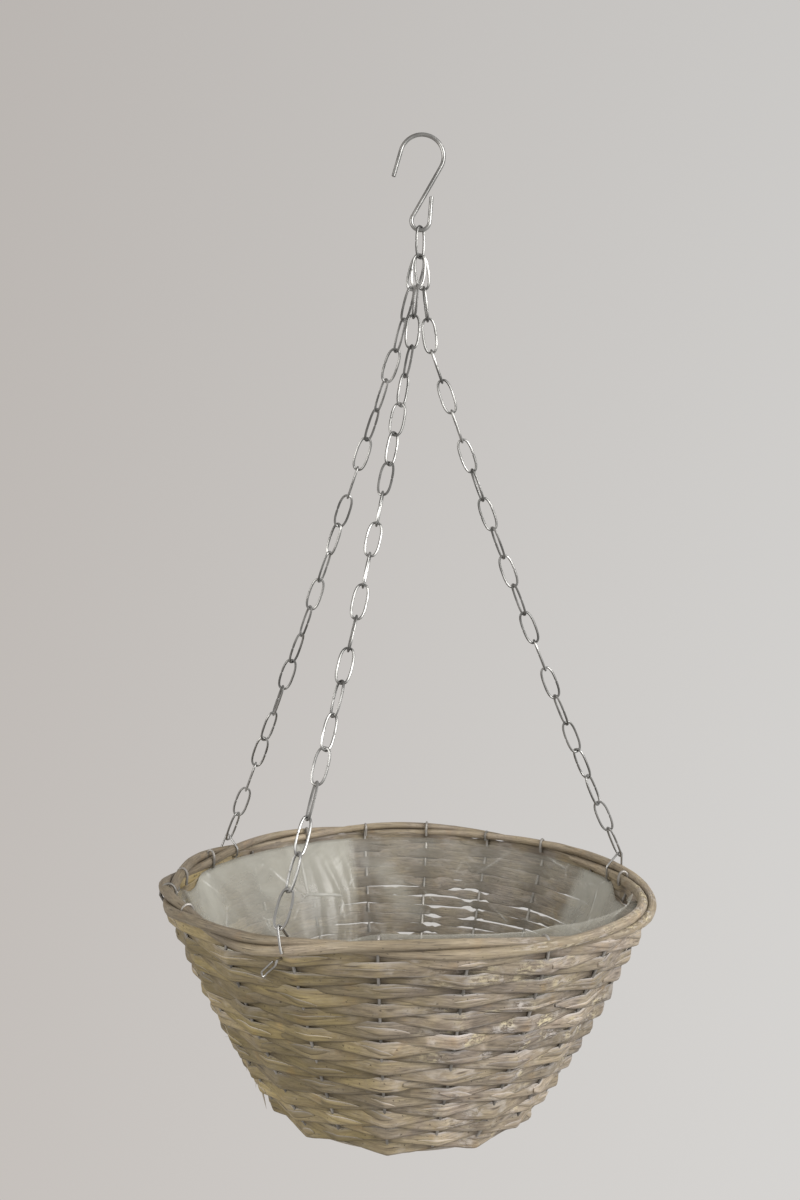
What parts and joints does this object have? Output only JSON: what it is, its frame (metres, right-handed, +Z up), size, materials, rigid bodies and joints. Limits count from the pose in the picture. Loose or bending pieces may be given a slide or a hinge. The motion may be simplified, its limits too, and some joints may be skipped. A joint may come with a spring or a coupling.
{
  "type": "hanging basket",
  "caption": "Hanging basket of split willow strips woven on wire stakes, with a clear liner, link chains and an S hook.",
  "frame": {"origin": "the point inside the top bend of the S hook that rests on its support", "axes": "+Z up through the hook, +X to the right across the flat of the S hook, -Y towards the front"},
  "size_m": [0.348, 0.348, 0.6893],
  "materials": {
    "hook_steel": "dull zinc plate",
    "link_steel": "bright zinc plate",
    "hanger_wire": "bright zinc plate",
    "stake_wire": "dull weathered zinc",
    "willow_rod": "matt peeled rod with bark stains",
    "split_willow": "matt grey-brown split strips",
    "base_willow": "matt split strips",
    "polythene": "clear creased film"
  },
  "bodies": {
    "hook": {"hanging_hook": "hook_steel"},
    "top_link": {"top_link": "link_steel"},
    "basket": {"rim_rod_outer": "willow_rod", "rim_rod_inner": "willow_rod", "wire_frame": "stake_wire", "base_panel": "base_willow", "liner": "polythene", "hanger_wire_a": "hanger_wire", "hanger_wire_b": "hanger_wire", "hanger_wire_c": "hanger_wire", "chain_a_links_1": "link_steel", "chain_b_links_1": "link_steel", "chain_c_links_1": "link_steel", "weave_row_01": "split_willow", "weave_row_02": "split_willow", "weave_row_03": "split_willow", "weave_row_04": "split_willow", "weave_row_05": "split_willow", "weave_row_06": "split_willow", "weave_row_07": "split_willow", "weave_row_08": "split_willow", "weave_row_09": "split_willow", "weave_row_10": "split_willow", "weave_row_11": "split_willow", "weave_row_12": "split_willow", "weave_row_13": "split_willow", "weave_row_14": "split_willow", "weave_row_15": "split_willow", "weave_row_16": "split_willow", "weave_row_17": "split_willow", "weave_row_18": "split_willow", "weave_row_19": "split_willow", "weave_row_20": "split_willow", "weave_row_21": "split_willow"},
    "chain_a_links_2": {"chain_a_links_2": "link_steel"},
    "chain_a_links_3": {"chain_a_links_3": "link_steel"},
    "chain_a_links_4": {"chain_a_links_4": "link_steel"},
    "chain_a_links_5": {"chain_a_links_5": "link_steel"},
    "chain_a_links_6": {"chain_a_links_6": "link_steel"},
    "chain_a_links_7": {"chain_a_links_7": "link_steel"},
    "chain_b_links_2": {"chain_b_links_2": "link_steel"},
    "chain_b_links_3": {"chain_b_links_3": "link_steel"},
    "chain_b_links_4": {"chain_b_links_4": "link_steel"},
    "chain_b_links_5": {"chain_b_links_5": "link_steel"},
    "chain_b_links_6": {"chain_b_links_6": "link_steel"},
    "chain_b_links_7": {"chain_b_links_7": "link_steel"},
    "chain_c_links_2": {"chain_c_links_2": "link_steel"},
    "chain_c_links_3": {"chain_c_links_3": "link_steel"},
    "chain_c_links_4": {"chain_c_links_4": "link_steel"},
    "chain_c_links_5": {"chain_c_links_5": "link_steel"},
    "chain_c_links_6": {"chain_c_links_6": "link_steel"},
    "chain_c_links_7": {"chain_c_links_7": "link_steel"}
  },
  "joints": [
    {"name": "top_link_swing", "type": "hinge", "parent": "hook", "child": "top_link", "pos_m": [0, 0, -0.0662], "axis": [1, 0, 0], "range_deg": [-30, 30]},
    {"name": "basket_swing", "type": "hinge", "parent": "top_link", "child": "basket", "pos_m": [0, 0, -0.0861], "axis": [0, 1, 0], "range_deg": [-30, 30]},
    {"name": "chain_a_links_2_twist", "type": "hinge", "parent": "basket", "child": "chain_a_links_2", "pos_m": [-0.01556, 0.01257, -0.14884], "axis": [-0.2953, 0.1986, -0.9345], "range_deg": [-12, 12]},
    {"name": "chain_a_links_3_twist", "type": "hinge", "parent": "basket", "child": "chain_a_links_3", "pos_m": [-0.03549, 0.02597, -0.21192], "axis": [-0.3021, 0.2031, -0.9314], "range_deg": [-12, 12]},
    {"name": "chain_a_links_4_twist", "type": "hinge", "parent": "basket", "child": "chain_a_links_4", "pos_m": [-0.05588, 0.03968, -0.27479], "axis": [-0.3088, 0.2077, -0.9282], "range_deg": [-12, 12]},
    {"name": "chain_a_links_5_twist", "type": "hinge", "parent": "basket", "child": "chain_a_links_5", "pos_m": [-0.07673, 0.0537, -0.33744], "axis": [-0.3155, 0.2122, -0.9249], "range_deg": [-12, 12]},
    {"name": "chain_a_links_6_twist", "type": "hinge", "parent": "basket", "child": "chain_a_links_6", "pos_m": [-0.09802, 0.06803, -0.39988], "axis": [-0.3222, 0.2167, -0.9215], "range_deg": [-12, 12]},
    {"name": "chain_a_links_7_twist", "type": "hinge", "parent": "basket", "child": "chain_a_links_7", "pos_m": [-0.11977, 0.08265, -0.46208], "axis": [-0.3288, 0.2212, -0.9181], "range_deg": [-12, 12]},
    {"name": "chain_b_links_2_twist", "type": "hinge", "parent": "basket", "child": "chain_b_links_2", "pos_m": [-0.00491, -0.01182, -0.15062], "axis": [-0.1484, -0.2935, -0.9444], "range_deg": [-12, 12]},
    {"name": "chain_b_links_3_twist", "type": "hinge", "parent": "basket", "child": "chain_b_links_3", "pos_m": [-0.01493, -0.03163, -0.21436], "axis": [-0.1602, -0.317, -0.9348], "range_deg": [-12, 12]},
    {"name": "chain_b_links_4_twist", "type": "hinge", "parent": "basket", "child": "chain_b_links_4", "pos_m": [-0.02574, -0.05302, -0.27746], "axis": [-0.1719, -0.3401, -0.9245], "range_deg": [-12, 12]},
    {"name": "chain_b_links_5_twist", "type": "hinge", "parent": "basket", "child": "chain_b_links_5", "pos_m": [-0.03734, -0.07598, -0.33987], "axis": [-0.1835, -0.363, -0.9135], "range_deg": [-12, 12]},
    {"name": "chain_b_links_6_twist", "type": "hinge", "parent": "basket", "child": "chain_b_links_6", "pos_m": [-0.04973, -0.10049, -0.40153], "axis": [-0.1949, -0.3857, -0.9018], "range_deg": [-12, 12]},
    {"name": "chain_b_links_7_twist", "type": "hinge", "parent": "basket", "child": "chain_b_links_7", "pos_m": [-0.06288, -0.12652, -0.4624], "axis": [-0.2062, -0.408, -0.8894], "range_deg": [-12, 12]},
    {"name": "chain_c_links_2_twist", "type": "hinge", "parent": "basket", "child": "chain_c_links_2", "pos_m": [0.00966, 0.00338, -0.15072], "axis": [0.3471, 0.1216, -0.9299], "range_deg": [-12, 12]},
    {"name": "chain_c_links_3_twist", "type": "hinge", "parent": "basket", "child": "chain_c_links_3", "pos_m": [0.03309, 0.01159, -0.21349], "axis": [0.3593, 0.1258, -0.9247], "range_deg": [-12, 12]},
    {"name": "chain_c_links_4_twist", "type": "hinge", "parent": "basket", "child": "chain_c_links_4", "pos_m": [0.05735, 0.02008, -0.27591], "axis": [0.3715, 0.1301, -0.9193], "range_deg": [-12, 12]},
    {"name": "chain_c_links_5_twist", "type": "hinge", "parent": "basket", "child": "chain_c_links_5", "pos_m": [0.08242, 0.02886, -0.33796], "axis": [0.3836, 0.1343, -0.9137], "range_deg": [-12, 12]},
    {"name": "chain_c_links_6_twist", "type": "hinge", "parent": "basket", "child": "chain_c_links_6", "pos_m": [0.10831, 0.03793, -0.39963], "axis": [0.3956, 0.1385, -0.9079], "range_deg": [-12, 12]},
    {"name": "chain_c_links_7_twist", "type": "hinge", "parent": "basket", "child": "chain_c_links_7", "pos_m": [0.13501, 0.04728, -0.46092], "axis": [0.4075, 0.1427, -0.902], "range_deg": [-12, 12]}
  ]
}
